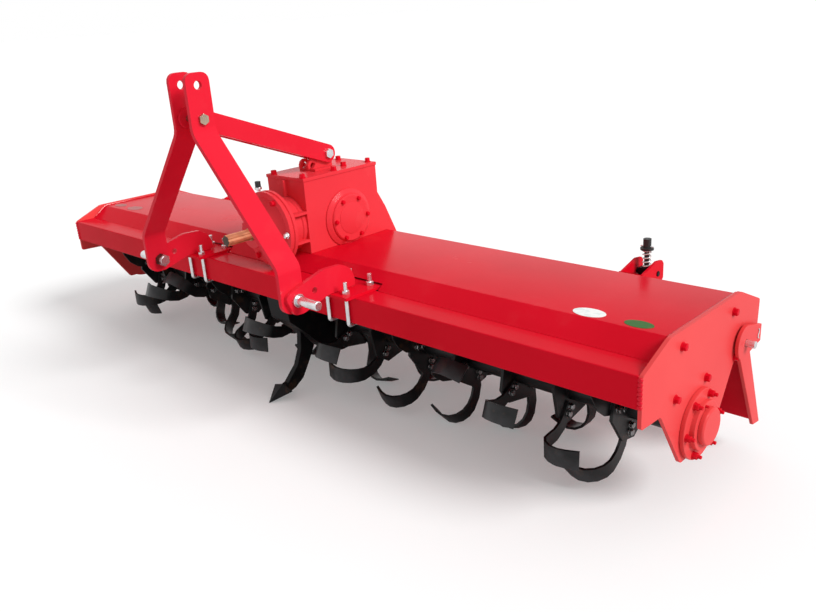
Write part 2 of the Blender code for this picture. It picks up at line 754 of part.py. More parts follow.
def struts():
    outline = capsule((MAST_BOLT_Y, MAST_BOLT_Z), (STRUT_BOLT_Y, STRUT_BOLT_Z), STRUT_RADIUS, ARM_HEAD_STEPS)
    strut = prism("strut_left", outline, STRUT_INNER_X, STRUT_OUTER_X)
    past = STRUT_OUTER_X + STRUT_RADIUS
    holes = [
        rod_between("strut_hole", 0, past, BOLT_HOLE_RADIUS, "X", (0, y, z))
        for y, z in ((MAST_BOLT_Y, MAST_BOLT_Z), (STRUT_BOLT_Y, STRUT_BOLT_Z))
    ]
    twin(cut(strut, *holes))


def through_bolt(name, half_grip, y, z):
    """A bolt along X with a hex head on each end."""
    past = half_grip + GAP + BOLT_HEAD_HEIGHT
    bolt = rod_between(name, -past, past, BOLT_RADIUS, "X", (0, y, z))
    heads = [
        rod_between("bolt_head", start, end, BOLT_HEAD_RADIUS, "X", (0, y, z), HEX_STEPS)
        for start, end in ((half_grip + GAP, past - GAP), (-past + GAP, -half_grip - GAP))
    ]
    return fuse(bolt, *heads)


def bevel_edges(obj, axis_index, picked, radius, steps):
    """Rounds the edges that run along an axis and whose middle is picked."""
    shape = bmesh.new()
    shape.from_mesh(obj.data)
    edges = []
    for edge in shape.edges:
        run = edge.verts[1].co - edge.verts[0].co
        if abs(run[axis_index]) > ALONG_SHARE * run.length and picked((edge.verts[0].co + edge.verts[1].co) / 2):
            edges.append(edge)
    bmesh.ops.bevel(shape, geom=edges, offset=radius, segments=steps, profile=BEVEL_ROUND_SHARE, affect="EDGES")
    shape.to_mesh(obj.data)
    shape.free()
    return obj


def mast_straps():
    path = (
        (STRAP_TOP_X, STRAP_TOP_Z), (STRAP_TOP_X, STRAP_UPPER_BEND_Z),
        (STRAP_FOOT_X, STRAP_LOWER_BEND_Z), (STRAP_FOOT_X, STRAP_FOOT_Z),
    )
    path = eased(path, STRAP_BEND_RADIUS)
    strap = bent_sheet("mast_strap_left", path, STRAP_THICKNESS, STRAP_FRONT_Y, STRAP_REAR_Y, "Y")
    bevel_edges(strap, 0, lambda middle: middle.z > STRAP_TOP_Z - GAP, STRAP_TOP_CORNER, STRAP_TOP_CORNER_STEPS)
    bevel_edges(strap, 0, lambda middle: middle.z < STRAP_FOOT_Z + GAP, STRAP_FOOT_CORNER, STRAP_FOOT_CORNER_STEPS)
    reach = STRAP_FOOT_X + STRAP_THICKNESS
    holes = [
        rod_between("top_link_hole", 0, STRAP_FOOT_X / 2, TOP_LINK_RADIUS, "X", (0, MAST_BOLT_Y, TOP_LINK_Z)),
        rod_between("mast_bolt_hole", 0, STRAP_FOOT_X / 2, BOLT_HOLE_RADIUS, "X", (0, MAST_BOLT_Y, MAST_BOLT_Z)),
        rod_between("foot_hole", reach / 2, reach, PIN_HOLE_RADIUS, "X", (0, PIN_Y, PIN_Z)),
    ]
    twin(cut(strap, *holes))


def hitch_cheeks():
    inner = STRAP_FOOT_X + GAP
    outline = rounded(from_shares((CHEEK_FRONT_Y, CHEEK_REAR_Y, CHEEK_BOTTOM_Z, CHEEK_TOP_Z), CHEEK_SHARES), CHEEK_CORNER)
    cheek = prism("hitch_cheek_left", outline, inner, inner + CHEEK_THICKNESS)
    past = inner + CHEEK_THICKNESS * 2
    holes = [
        rod_between("pin_hole", inner - CHEEK_THICKNESS, past, PIN_HOLE_RADIUS, "X", (0, PIN_Y, PIN_Z)),
        rod_between(
            "cheek_hole", inner - CHEEK_THICKNESS, past, CHEEK_HOLE_RADIUS, "X", (0, CHEEK_HOLE_Y, CHEEK_HOLE_Z)
        ),
    ]
    twin(cut(cheek, *holes))


def hitch_pins():
    profile = (
        (PIN_INNER_X, 0), (PIN_INNER_X, PIN_RADIUS), (PIN_SEAT_X, PIN_RADIUS), (PIN_SEAT_X, PIN_COLLAR_RADIUS),
        (PIN_COLLAR_X, PIN_COLLAR_RADIUS), (PIN_COLLAR_X, PIN_RADIUS), (PIN_OUTER_X - PIN_CHAMFER, PIN_RADIUS),
        (PIN_OUTER_X, PIN_RADIUS - PIN_CHAMFER), (PIN_OUTER_X, 0),
    )
    pin = turned("hitch_pin_left", profile, "X", (0, PIN_Y, PIN_Z), SMALL_STEPS, "zinc")
    nut_start = PIN_INNER_X + PIN_CHAMFER
    nut = rod_between("pin_nut", nut_start, PIN_NUT_X, PIN_NUT_RADIUS, "X", (0, PIN_Y, PIN_Z), HEX_STEPS)
    twin(fuse(pin, nut))


def ubolt_path(x):
    """The middle line of a U-bolt round the beam, from one stud end to the other."""
    reach = UBOLT_RADIUS + UBOLT_BEAM_GAP
    front, rear, bottom = BEAM_FRONT_Y - reach, BEAM_REAR_Y + reach, BEAM_BOTTOM_Z - reach
    quarter = pi / 2
    lift = bottom + UBOLT_CORNER
    front_bend = arc((front + UBOLT_CORNER, lift), UBOLT_CORNER, pi, pi + quarter, UBOLT_CORNER_STEPS)
    rear_bend = arc((rear - UBOLT_CORNER, lift), UBOLT_CORNER, -quarter, 0, UBOLT_CORNER_STEPS)
    flat = [(front, UBOLT_STUD_Z)] + front_bend + rear_bend + [(rear, UBOLT_STUD_Z)]
    return [(x, y, z) for y, z in flat]


def bent_wire(name, points, radius, resolution, material):
    """A round wire along a line of points, with closed ends."""
    curve = bpy.data.curves.new(name, "CURVE")
    curve.dimensions = "3D"
    curve.bevel_depth = radius
    curve.bevel_resolution = resolution
    curve.use_fill_caps = True
    line = curve.splines.new("POLY")
    line.points.add(len(points) - len(line.points))
    for spot, point in zip(line.points, points):
        spot.co = (*point, 1)
    return kept(name, drawn(name, curve), Matrix.Identity(len(line.points[0].co)), material)


def hitch_clamps():
    low = (CLAMP_INNER_X, CLAMP_FRONT_Y, BEAM_TOP_Z + GAP)
    high = (CLAMP_OUTER_X, CLAMP_REAR_Y, BEAM_TOP_Z + CLAMP_THICKNESS)
    clamp = box_between("hitch_clamp_left", low, high)
    joined = []
    for x in (UBOLT_INNER_X, UBOLT_OUTER_X):
        path = ubolt_path(x)
        joined.append(bent_wire("ubolt", path, UBOLT_RADIUS, WIRE_STEPS, "zinc"))
        for end in (path[0], path[-1]):
            nut_base = high[2] - CLAMP_THICKNESS / 2
            nut_top = high[2] + UBOLT_NUT_HEIGHT
            joined.append(rod_between("stud_nut", nut_base, nut_top, UBOLT_NUT_RADIUS, "Z", (x, end[1], 0), HEX_STEPS))
    twin(fuse(clamp, *joined))


def centre_case():
    round_part = arc((0, 0), CASE_RADIUS, CASE_ROUND_START, CASE_ROUND_END, CASE_ROUND_STEPS)
    outline = [
        (CASE_TOP_FRONT_Y, CASE_TOP_Z), (CASE_FRONT_Y, CASE_SHOULDER_Z), (CASE_FRONT_Y, CASE_NOSE_TOP_Z),
        (CASE_NOSE_Y, CASE_NOSE_TOP_Z), (CASE_SLOPE_TOP_Y, CASE_SLOPE_TOP_Z), (CASE_SLOPE_KNEE_Y, CASE_SLOPE_KNEE_Z),
    ] + round_part + [(CASE_RADIUS, CASE_TOP_Z)]
    case = prism("centre_case", outline, -CASE_HALF_WIDTH, CASE_HALF_WIDTH, "X", "black_paint")
    past = CASE_HALF_WIDTH * 2
    cut(case, rod_between("case_bore", -past, past, CASE_BORE_RADIUS, "X", (0, 0, 0), ROUND_STEPS))


def centre_shank():
    outline = from_shares((SHANK_FRONT_Y, SHANK_REAR_Y, SHANK_BOTTOM_Z, SHANK_TOP_Z), SHANK_SHARES)
    prism("centre_shank", outline, -SHANK_HALF_WIDTH, SHANK_HALF_WIDTH, "X", "black_paint")


def share():
    """A solid arrow point on the shank's toe: a ridge above, a keel below and a wing at each side."""
    points = [
        (0, SHARE_TIP_Y, -ROTOR_Z), (SHARE_WING_X, SHARE_BACK_Y, SHARE_WING_Z), (0, SHARE_BACK_Y, SHARE_RIDGE_Z),
        (-SHARE_WING_X, SHARE_BACK_Y, SHARE_WING_Z), (0, SHARE_BACK_Y, SHARE_KEEL_Z),
    ]
    shape = bmesh.new()
    tip, *back = [shape.verts.new(point) for point in points]
    shape.faces.new(back)
    for index, corner in enumerate(back):
        shape.faces.new((tip, corner, back[index - 1]))
    object_from_bmesh("share", shape, "black_paint")


def board_line(share, depth=0):
    """A point on the board's rear face, a share of the way down it and a depth in front of it."""
    fall = Vector((BOARD_BOTTOM_Y - BOARD_TOP_Y, BOARD_BOTTOM_Z - BOARD_TOP_Z))
    front = Vector((fall.y, -fall.x)).normalized()
    point = Vector((BOARD_TOP_Y, BOARD_TOP_Z)) + fall * share + front * depth
    return tuple(point)


def board_sheet():
    """The board's sheet: full width low down, and narrower near the top, where it swings in between the plates."""
    end = ARM_INNER_X - GAP
    wide, narrow = BOARD_WIDE_SHARE, BOARD_INSIDE_X
    outline = (
        (-end, 1), (end, 1), (end, wide), (narrow, wide), (narrow, 0), (-narrow, 0), (-narrow, wide), (-end, wide),
    )
    shape = bmesh.new()
    faces = []
    for depth in (0, BOARD_THICKNESS):
        faces.append([shape.verts.new((x, *board_line(share_down, depth))) for x, share_down in outline])
    shape.faces.new(faces[0])
    shape.faces.new(reversed(faces[1]))
    for index, corner in enumerate(faces[0]):
        shape.faces.new((faces[0][index - 1], corner, faces[1][index], faces[1][index - 1]))
    return object_from_bmesh("trailing_board", shape, "red_paint")


def trailing_board():
    board = board_sheet()
    joined = []
    eye = (TRUNNION_Y, EYE_Z)
    head = arc(eye, BOARD_LUG_REACH, -pi / 2, pi / 2, ARM_HEAD_STEPS)
    outline = head + [board_line(BOARD_LUG_TOP_SHARE, BOARD_OVERLAP), board_line(BOARD_LUG_BOTTOM_SHARE, BOARD_OVERLAP)]
    near = EYE_HALF_WIDTH + BOARD_LUG_GAP
    for side, sign in SIDES:
        for start in (near, -near - BOARD_LUG_THICKNESS):
            low = sign * ADJUSTER_X + start
            joined.append(prism("board_lug", outline, low, low + BOARD_LUG_THICKNESS))
    fuse(board, *joined)


def board_arms():
    hinge = (HINGE_Y, HINGE_Z)
    head = arc(hinge, ARM_HEAD_RADIUS, pi / 2, pi / 2 + ARM_HEAD_SWEEP, ARM_HEAD_STEPS)
    outline = head + [
        (ARM_FRONT_BOTTOM_Y, ARM_FRONT_BOTTOM_Z), board_line(1), board_line(0),
        (ARM_TAB_Y, ARM_TAB_BOTTOM_Z), (ARM_TAB_Y, ARM_TAB_TOP_Z),
    ]
    arm = prism("board_arm_left", outline, ARM_INNER_X, ARM_OUTER_X)
    hole = rod_between("arm_hole", ARM_INNER_X * ALONG_SHARE, ARM_OUTER_X + GAP, HINGE_HOLE_RADIUS, "X", (0, *hinge))
    twin(cut(arm, hole))
    start = PLATE_INNER_X + PLATE_THICKNESS + GAP
    twin(rod_between("hinge_pin_left", start, HINGE_PIN_X, HINGE_PIN_RADIUS, "X", (0, *hinge)))


def adjuster_brackets():
    """Two ears on a folded foot, which lies on the cover's rear slope and wall."""
    outline = from_shares((EAR_FRONT_Y, EAR_REAR_Y, EAR_BOTTOM_Z, EAR_TOP_Z), EAR_SHARES)
    low, high = ADJUSTER_X - EAR_HALF_SPAN, ADJUSTER_X + EAR_HALF_SPAN
    fold = [outline[-2], outline[-1], outline[0]]
    bracket = bent_sheet("adjuster_bracket_left", fold, EAR_WEB_THICKNESS, low, high)
    ears = [
        prism("ear", outline, low, low + EAR_THICKNESS),
        prism("ear", outline, high - EAR_THICKNESS, high),
    ]
    fuse(bracket, *ears)
    hole = rod_between("ear_hole", ADJUSTER_X * ALONG_SHARE, high + EAR_THICKNESS, TRUNNION_HOLE_RADIUS, "X", TRUNNION)
    twin(cut(bracket, hole))


def trunnions():
    block = box_between(
        "trunnion_left",
        (ADJUSTER_X - TRUNNION_HALF_WIDTH, TRUNNION_Y - TRUNNION_HALF_DEPTH, TRUNNION_Z - TRUNNION_HALF_HEIGHT),
        (ADJUSTER_X + TRUNNION_HALF_WIDTH, TRUNNION_Y + TRUNNION_HALF_DEPTH, TRUNNION_Z + TRUNNION_HALF_HEIGHT),
        "black_paint",
    )
    reach = EAR_HALF_SPAN + TRUNNION_PIN_PROUD
    fuse(block, rod_between("trunnion_pin", ADJUSTER_X - reach, ADJUSTER_X + reach, TRUNNION_PIN_RADIUS, "X", TRUNNION))
    past = TRUNNION_Z + TRUNNION_HALF_WIDTH
    hole = rod_between("rod_hole", 0, past, ROD_HOLE_RADIUS, "Z", (ADJUSTER_X, TRUNNION_Y, 0))
    twin(cut(block, hole))


def springs():
    low = TRUNNION_Z + TRUNNION_HALF_HEIGHT + SPRING_WIRE_RADIUS + GAP
    high = SPRING_TOP_Z
    count = SPRING_TURNS * SPRING_STEPS
    points = []
    for step in range(count + 1):
        turn = 2 * pi * step / SPRING_STEPS
        rise = min(max((step / count) * SPRING_TURNS - SPRING_DEAD_SHARE, 0) / (SPRING_TURNS - 2 * SPRING_DEAD_SHARE), 1)
        points.append((
            ADJUSTER_X + SPRING_RADIUS * cos(turn), TRUNNION_Y + SPRING_RADIUS * sin(turn), low + (high - low) * rise
        ))
    twin(bent_wire("spring_left", points, SPRING_WIRE_RADIUS, THIN_WIRE_STEPS, "zinc"))


def adjuster_rods():
    profile = (
        (EYE_Z, 0), (EYE_Z, ROD_RADIUS), (COLLAR_BOTTOM_Z, ROD_RADIUS), (COLLAR_BOTTOM_Z, COLLAR_RADIUS),
        (COLLAR_TOP_Z, COLLAR_RADIUS), (COLLAR_TOP_Z, KNOB_RADIUS), (KNOB_TOP_Z, KNOB_RADIUS), (KNOB_TOP_Z, 0),
    )
    rod = turned("adjuster_rod_left", profile, "Z", (ADJUSTER_X, TRUNNION_Y, 0), SMALL_STEPS, "black_paint")
    low, high = ADJUSTER_X - EYE_HALF_WIDTH, ADJUSTER_X + EYE_HALF_WIDTH
    eye = rod_between("rod_eye", low, high, EYE_RADIUS, "X", (0, TRUNNION_Y, EYE_Z), SMALL_STEPS)
    twin(fuse(rod, eye))


def blade_path():
    """Places down a blade's middle: (sideways, round, outwards, hook turn, sideways bend), from root to tip."""
    side = (HOLDER_THICKNESS + BLADE_THICKNESS) / 2 - BLADE_SINK
    path = [(side, 0, BLADE_ROOT_RADIUS, 0, 0), (side, 0, BLADE_STRAIGHT_RADIUS, 0, 0)]
    for step in range(1, BLADE_HOOK_STEPS + 1):
        hook = BLADE_HOOK_ANGLE * step / BLADE_HOOK_STEPS
        back = -BLADE_HOOK_RADIUS * (1 - cos(hook))
        path.append((side, back, BLADE_STRAIGHT_RADIUS + BLADE_HOOK_RADIUS * sin(hook), hook, 0))
    around, out, hook = path[-1][1:-1]
    for step in range(1, BLADE_BEND_STEPS + 1):
        bend = BLADE_BEND_ANGLE * step / BLADE_BEND_STEPS
        run = BLADE_BEND_RADIUS * sin(bend)
        over = side + BLADE_BEND_RADIUS * (1 - cos(bend))
        path.append((over, around - run * sin(hook), out + run * cos(hook), hook, bend))
    over, around, out, hook, bend = path[-1]
    run = BLADE_TIP_LENGTH * cos(bend)
    over += BLADE_TIP_LENGTH * sin(bend)
    path.append((over, around - run * sin(hook), out + run * cos(hook), hook, bend))
    return path


def blade_rings():
    """Four corners at each place down the blade: (sideways, round, outwards), thin at its cutting edge."""
    path = blade_path()
    rings = []
    for index, (side, around, out, hook, bend) in enumerate(path):
        share = index / (len(path) - 1)
        half = (BLADE_ROOT_WIDTH + (BLADE_TIP_WIDTH - BLADE_ROOT_WIDTH) * share) / 2
        ring = []
        for edge, thick, face in (
            (half, BLADE_EDGE_THICKNESS, 1), (half, BLADE_EDGE_THICKNESS, -1),
            (-half, BLADE_THICKNESS, -1), (-half, BLADE_THICKNESS, 1),
        ):
            push = thick / 2 * face
            inwards = push * sin(bend)
            ring.append((
                side + push * cos(bend),
                around + edge * cos(hook) + inwards * sin(hook),
                out + edge * sin(hook) - inwards * cos(hook),
            ))
        rings.append(ring)
    scale = BLADE_TIP_RADIUS / max(hypot(around, out) for ring in rings for side, around, out in ring)
    return [[(side, around * scale, out * scale) for side, around, out in ring] for ring in rings]


def blade_lean(rings):
    """The angle between a blade's root and its farthest corner."""
    farthest = max((hypot(around, out), atan2(-around, out)) for ring in rings for side, around, out in ring)
    return farthest[1]


def add_blade(shape, rings, x, bend, turn):
    made = []
    for ring in rings:
        corners = []
        for side, around, out in ring:
            y = out * cos(turn) - around * sin(turn)
            z = out * sin(turn) + around * cos(turn)
            corners.append(shape.verts.new((x + bend * side, y, z)))
        made.append(corners)
    shape.faces.new(made[0])
    shape.faces.new(reversed(made[-1]))
    for last, this in zip(made, made[1:]):
        for index in range(len(last)):
            shape.faces.new((last[index - 1], last[index], this[index], this[index - 1]))


def holder(x, roots):
    """A square plate with its corners cut off, one cut corner under each blade."""
    outline = []
    for root in roots:
        for around in (-HOLDER_HALF_WIDTH, HOLDER_HALF_WIDTH):
            y = HOLDER_HEIGHT * cos(root) - around * sin(root)
            z = HOLDER_HEIGHT * sin(root) + around * cos(root)
            outline.append((y, z))
    return prism("holder", outline, x - HOLDER_THICKNESS / 2, x + HOLDER_THICKNESS / 2, "X", "black_paint")


def rotor():
    rings = blade_rings()
    lean = blade_lean(rings)
    blades = bmesh.new()
    holders = []
    for station in range(HOLDER_COUNT):
        first = -pi / 2 + BLADE_STEP / 2 + BLADE_STEP * station + lean
        roots = [first + 2 * pi * blade / BLADES_PER_HOLDER for blade in range(BLADES_PER_HOLDER)]
        for side, sign in SIDES:
            x = sign * (HOLDER_FIRST_X + station * HOLDER_SPACING)
            holders.append(holder(x, roots))
            for blade, root in enumerate(roots):
                add_blade(blades, rings, x, sign * blade_side(station, blade), root)
    profile = (
        (-JOURNAL_END_X, 0), (-JOURNAL_END_X, JOURNAL_RADIUS), (-ROTOR_TUBE_END_X, JOURNAL_RADIUS),
        (-ROTOR_TUBE_END_X, ROTOR_TUBE_RADIUS), (ROTOR_TUBE_END_X, ROTOR_TUBE_RADIUS),
        (ROTOR_TUBE_END_X, JOURNAL_RADIUS), (JOURNAL_END_X, JOURNAL_RADIUS), (JOURNAL_END_X, 0),
    )
    core = turned("rotor", profile, "X", (0, 0, 0), SMALL_STEPS, "black_paint")
    fuse(core, *holders, object_from_bmesh("blades", blades, "black_paint"))


def blade_side(station, blade):
    """Blades bend outwards on the first holder, inwards on the last, and by turns between."""
    if station == 0:
        return 1
    if station == HOLDER_COUNT - 1 or blade % 2:
        return -1
    return 1


# Each moving piece's origin, on its joint's axis
ORIGINS = {
    "input_shaft": (0, 0, INPUT_Z),
    "trailing_board": (0, HINGE_Y, HINGE_Z),
    "board_arm_left": (ARM_INNER_X, HINGE_Y, HINGE_Z),
    "board_arm_right": (-ARM_INNER_X, HINGE_Y, HINGE_Z),
    "trunnion_left": (ADJUSTER_X, TRUNNION_Y, TRUNNION_Z),
    "trunnion_right": (-ADJUSTER_X, TRUNNION_Y, TRUNNION_Z),
    "spring_left": (ADJUSTER_X, TRUNNION_Y, TRUNNION_Z),
    "spring_right": (-ADJUSTER_X, TRUNNION_Y, TRUNNION_Z),
    "adjuster_rod_left": (ADJUSTER_X, TRUNNION_Y, TRUNNION_Z),
    "adjuster_rod_right": (-ADJUSTER_X, TRUNNION_Y, TRUNNION_Z),
}


def settle():
    """Gives each moving piece its own origin and stands the whole on the ground."""
    stand = Vector((0, ROTOR_Y, ROTOR_Z))
    for obj in bpy.data.objects:
        origin = Vector(ORIGINS.get(obj.name, (0, 0, 0)))
        obj.data.transform(Matrix.Translation(-origin))
        obj.location = origin + stand


clear_scene()
PIECES = new_collection("rotary_tiller", False)
CUTTERS = new_collection("rotary_tiller_cutters", True)
make_materials()
rotor()
end_plates()
bearing_flanges()
front_beam()
cover()
gearbox()
side_caps()
input_housing()
breather()
input_shaft()
lid_bracket()
struts()
through_bolt("mast_bolt", STRAP_TOP_X, MAST_BOLT_Y, MAST_BOLT_Z)
through_bolt("strut_bolt", STRUT_OUTER_X, STRUT_BOLT_Y, STRUT_BOLT_Z)
mast_straps()
hitch_cheeks()
hitch_pins()
hitch_clamps()
centre_case()
centre_shank()
share()
trailing_board()
board_arms()
adjuster_brackets()
trunnions()
springs()
adjuster_rods()
settle()
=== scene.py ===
"""A tractor's rotary tiller, seen from its front left corner on a plain pale floor."""

from math import cos, pi, radians, sin, sqrt
import json

import bmesh
import bpy
from mathutils import Matrix, Vector
from mathutils.bvhtree import BVHTree

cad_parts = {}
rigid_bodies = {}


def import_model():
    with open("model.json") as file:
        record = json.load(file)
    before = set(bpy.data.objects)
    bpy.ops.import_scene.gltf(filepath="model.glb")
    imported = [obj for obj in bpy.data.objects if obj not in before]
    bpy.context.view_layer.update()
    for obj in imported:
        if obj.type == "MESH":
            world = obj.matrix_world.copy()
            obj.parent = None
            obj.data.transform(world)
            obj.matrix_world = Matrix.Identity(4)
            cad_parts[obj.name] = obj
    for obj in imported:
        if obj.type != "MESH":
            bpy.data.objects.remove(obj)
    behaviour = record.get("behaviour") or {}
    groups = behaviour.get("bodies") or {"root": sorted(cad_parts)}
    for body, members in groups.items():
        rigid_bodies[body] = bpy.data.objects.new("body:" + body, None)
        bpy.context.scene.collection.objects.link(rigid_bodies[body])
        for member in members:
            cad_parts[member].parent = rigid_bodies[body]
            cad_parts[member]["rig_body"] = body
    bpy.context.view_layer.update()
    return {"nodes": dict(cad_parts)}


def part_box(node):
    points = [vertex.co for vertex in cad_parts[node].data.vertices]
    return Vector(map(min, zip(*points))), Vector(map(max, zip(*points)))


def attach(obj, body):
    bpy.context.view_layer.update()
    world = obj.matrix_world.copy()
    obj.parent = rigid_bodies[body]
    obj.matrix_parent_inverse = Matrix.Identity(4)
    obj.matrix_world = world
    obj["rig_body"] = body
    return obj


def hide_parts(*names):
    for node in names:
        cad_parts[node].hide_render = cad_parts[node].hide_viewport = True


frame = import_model()

# The camera stands at the photograph's place, in front of the machine's left end and above it.
# Its lens and place were measured from the picture's own straight edges.
lens_mm = 35.70
camera_place = (2.1701, -1.7119, 1.2484)
camera_turn = [radians(angle) for angle in (69.970, 3.913, 44.013)]
view_reach = 900
bpy.ops.object.select_all(action="DESELECT")
bpy.ops.object.camera_add(location=camera_place, rotation=camera_turn)
camera = bpy.context.object
camera.data.lens = lens_mm
camera.data.clip_end = view_reach
bpy.context.scene.camera = camera
bpy.context.scene.view_settings.view_transform = "Standard"

# The studio is a wide white floor that keeps the shadow, under an even white sky.
# A broad soft lamp shines from the machine's left end, and the paint at the ends is also lightened
# as painted highlight, so the end faces are the brightest.
floor_size = 900
floor_drop = 0.0006
bpy.ops.mesh.primitive_plane_add(size=floor_size, location=(0, 0, -floor_drop))
floor = bpy.context.object
floor.name = "studio_floor"


class Wire:
    """One output of a shader node. Plain arithmetic on it adds Math nodes."""

    def __init__(self, finish, socket):
        self.finish = finish
        self.socket = socket

    def maths(self, operation, first, second):
        return self.finish.node("ShaderNodeMath", {"operation": operation}, {0: first, 1: second})

    def __add__(self, other):
        return self.maths("ADD", self, other)

    __radd__ = __add__

    def __sub__(self, other):
        return self.maths("SUBTRACT", self, other)

    def __rsub__(self, other):
        return self.maths("SUBTRACT", other, self)

    def __mul__(self, other):
        return self.maths("MULTIPLY", self, other)

    __rmul__ = __mul__

    def __pow__(self, other):
        return self.maths("POWER", self, other)


class Finish:
    """A material with its node tree."""

    def __init__(self, name):
        self.material = bpy.data.materials.new(name)
        self.material.use_nodes = True
        self.tree = self.material.node_tree
        self.shader = self.tree.nodes["Principled BSDF"]

    def feed(self, socket, value):
        if isinstance(value, Wire):
            self.tree.links.new(value.socket, socket)
        else:
            socket.default_value = value

    def node(self, kind, settings=None, inputs=None, output=0):
        node = self.tree.nodes.new(kind)
        for name, value in (settings or {}).items():
            setattr(node, name, value)
        for name, value in (inputs or {}).items():
            self.feed(node.inputs[name], value)
        return Wire(self, node.outputs[output])

    def set(self, **sockets):
        for name, value in sockets.items():
            self.feed(self.shader.inputs[name.replace("_", " ")], value)

    def place(self, centre=(0, 0, 0), scale=(1, 1, 1)):
        """The place on the piece, measured from the centre and stretched by the scale."""
        here = self.node("ShaderNodeTexCoord", output="Object")
        shift = [-at * by for at, by in zip(centre, scale)]
        inputs = {"Vector": here, "Location": shift, "Scale": scale}
        return self.node("ShaderNodeMapping", {}, inputs)

    def noise(self, scale, detail=3, rough=0.55, stretch=(1, 1, 1)):
        here = self.place(scale=stretch)
        inputs = {"Vector": here, "Scale": scale, "Detail": detail, "Roughness": rough}
        return self.node("ShaderNodeTexNoise", {}, inputs)

    def between(self, value, low, high):
        """The value taken from low..high to 0..1, and held there."""
        inputs = {"Value": value, "From Min": low, "From Max": high}
        return self.node("ShaderNodeMapRange", {"clamp": True}, inputs)

    def blend(self, factor, first, second):
        inputs = {"Factor": factor, 6: first, 7: second}
        return self.node("ShaderNodeMix", {"data_type": "RGBA"}, inputs, output=2)

    def bump(self, height, strength, distance):
        inputs = {"Height": height, "Strength": strength, "Distance": distance}
        return self.node("ShaderNodeBump", {}, inputs)


floor_finish = Finish("white_floor")
speckle = floor_finish.noise(3, 2)
pale = floor_finish.blend(speckle, (0.76, 0.76, 0.76, 1), (0.77, 0.77, 0.77, 1))
seen = floor_finish.node("ShaderNodeLightPath", output="Is Camera Ray")
white_lift = 0.22
lift = floor_finish.blend(seen, (0, 0, 0, 1), (white_lift, white_lift, white_lift, 1))
floor_finish.set(
    Base_Color=pale,
    Roughness=0.9,
    Specular_IOR_Level=0.1,
    Emission_Color=lift,
    Emission_Strength=1,
)
floor.data.materials.append(floor_finish.material)

world = bpy.data.worlds.new("studio")
bpy.context.scene.world = world
world.use_nodes = True
sky = world.node_tree.nodes["Background"]
sky_light = 0.60
path = world.node_tree.nodes.new("ShaderNodeLightPath")
reached = path.outputs["Is Camera Ray"]
for ray in ("Is Glossy Ray", "Is Transmission Ray"):
    either = world.node_tree.nodes.new("ShaderNodeMath")
    either.operation = "MAXIMUM"
    world.node_tree.links.new(reached, either.inputs[0])
    world.node_tree.links.new(path.outputs[ray], either.inputs[1])
    reached = either.outputs[0]
level = world.node_tree.nodes.new("ShaderNodeMapRange")
level.inputs["To Min"].default_value = sky_light
level.inputs["To Max"].default_value = 1
world.node_tree.links.new(reached, level.inputs["Value"])
world.node_tree.links.new(level.outputs[0], sky.inputs["Strength"])
sky.inputs["Color"].default_value = (1, 1, 1, 1)

sun_from = Vector((0.80, 0.14, 0.62))
sun_strength = 2.6
sun_width_deg = 24
sun_distance = 4
bpy.ops.object.light_add(type="SUN", location=sun_from * sun_distance)
sun = bpy.context.object
sun.name = "soft_sun"
sun.data.energy = sun_strength
sun.data.angle = radians(sun_width_deg)
sun.rotation_euler = sun_from.to_track_quat("Z", "Y").to_euler()


# The end plates close the cover's ends and carry the rotor's bearings. They are 10 mm steel plate.
# Five painted bolts stand on each plate's outer face, and a rippled weld joins it to the beam.
paint_red = (0.680, 0.0045, 0.0190, 1)
paint_deep = (0.590, 0.0032, 0.0140, 1)


def red_gloss(name, colour=paint_red, deep=paint_deep, rough=0.22, shine=0.022):
    """Sprayed red gloss: faint cloudiness, orange peel, and a thin clear skin."""
    dust_colour = (0.72, 0.26, 0.24, 1)
    peel_strength, peel_depth = 0.035, 0.0012
    finish = Finish(name)
    cloud = finish.between(finish.noise(2.4), 0.35, 0.70)
    dust = finish.between(finish.noise(6, 5, 0.62), 0.55, 0.78)
    painted = finish.blend(cloud, colour, deep)
    dusty = finish.blend(0.05 * dust, painted, dust_colour)
    peel = finish.noise(240, 2)
    waves = finish.noise(11, 2)
    finish.set(
        Base_Color=dusty,
        Roughness=rough + 0.10 * dust,
        Normal=finish.bump(peel + 2.0 * waves, peel_strength, peel_depth),
        Specular_IOR_Level=shine,
        Coat_Weight=0.03,
        Coat_Roughness=0.08,
    )
    return finish.material


red = red_gloss("red_gloss_paint")
# The gear case, its lid, bracket, side caps and input housing wear a lighter, pinker copy of the
# red paint. This is painted light: the sunlit look is laid into the colour.
red_casting_painted_light = red_gloss(
    "red_casting_paint_painted_light",
    colour=(0.740, 0.0400, 0.0540, 1),
    deep=(0.680, 0.0280, 0.0400, 1),
    rough=0.26,
    shine=0.06,
)
# The mast straps, struts, hitch cheeks and welds wear a slightly pinker copy of the red paint.
# This is painted light: the sunlit look is laid into the colour.
red_bar_painted_light = red_gloss(
    "red_bar_paint_painted_light",
    colour=(0.720, 0.0140, 0.0340, 1),
    deep=(0.660, 0.0100, 0.0260, 1),
    rough=0.20,
    shine=0.06,
)
# The end plates, bearing flanges, hub caps and board arms wear a paler salmon copy of the red
# paint. This is painted highlight: the strong light on the end faces is laid into the colour, at
# both ends.
red_end_painted_highlight = red_gloss(
    "red_end_plate_paint_painted_highlight",
    colour=(0.750, 0.068, 0.068, 1),
    deep=(0.700, 0.054, 0.056, 1),
    rough=0.32,
    shine=0.06,
)
axle_low, axle_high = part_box("hub_cap_left")
axle = Vector((0, (axle_low[1] + axle_high[1]) / 2, (axle_low[2] + axle_high[2]) / 2))


def only(*pieces):
    bpy.ops.object.select_all(action="DESELECT")
    for piece in pieces:
        piece.select_set(True)
    bpy.context.view_layer.objects.active = pieces[0]


